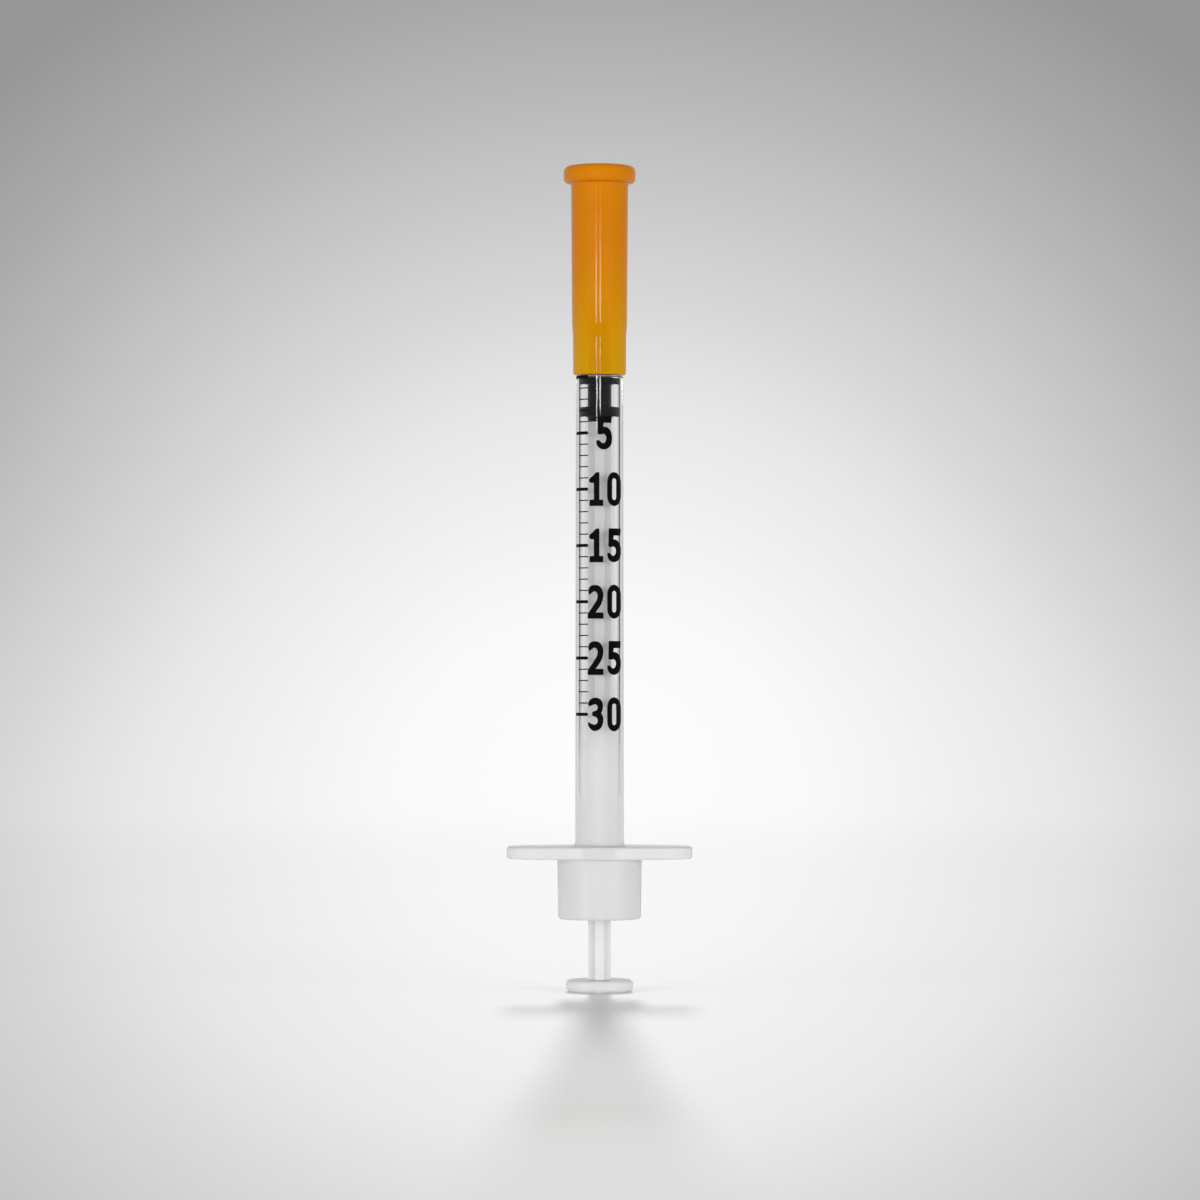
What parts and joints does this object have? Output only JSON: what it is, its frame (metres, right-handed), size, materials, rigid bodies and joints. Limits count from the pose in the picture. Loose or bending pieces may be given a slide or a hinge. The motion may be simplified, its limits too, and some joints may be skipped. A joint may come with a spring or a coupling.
{
  "type": "insulin syringe",
  "caption": "Slim graduated syringe: clear barrel with winged finger flange, cross-shaped plunger rod, rubber stopper, fixed needle and flanged orange needle shield.",
  "frame": {"origin": "centre of the thumb pad's foot, on which the syringe stands", "axes": "+Z along the syringe axis towards the needle, +X along the finger flange's wings, +Y across them"},
  "size_m": [0.021, 0.0108, 0.0938],
  "materials": {
    "clear_plastic": "clear, milky towards the finger flange",
    "white_plastic": "satin, slightly translucent",
    "black_rubber": "smooth, slightly glossy",
    "needle_steel": "drawn and polished",
    "clear_adhesive": "clear and glossy",
    "orange_plastic": "glossy, slightly translucent"
  },
  "bodies": {
    "barrel": {"barrel": "clear_plastic", "needle": "needle_steel", "needle_bond": "clear_adhesive"},
    "plunger": {"plunger_rod": "white_plastic", "stopper": "black_rubber"},
    "shield": {"needle_shield": "orange_plastic"}
  },
  "joints": [
    {"name": "plunger_slide", "type": "slide", "parent": "barrel", "child": "plunger", "axis": [0, 0, -1], "range_m": [0, 0.04208]},
    {"name": "shield_pull", "type": "slide", "parent": "barrel", "child": "shield", "axis": [0, 0, 1], "range_m": [0, 0.025]}
  ]
}
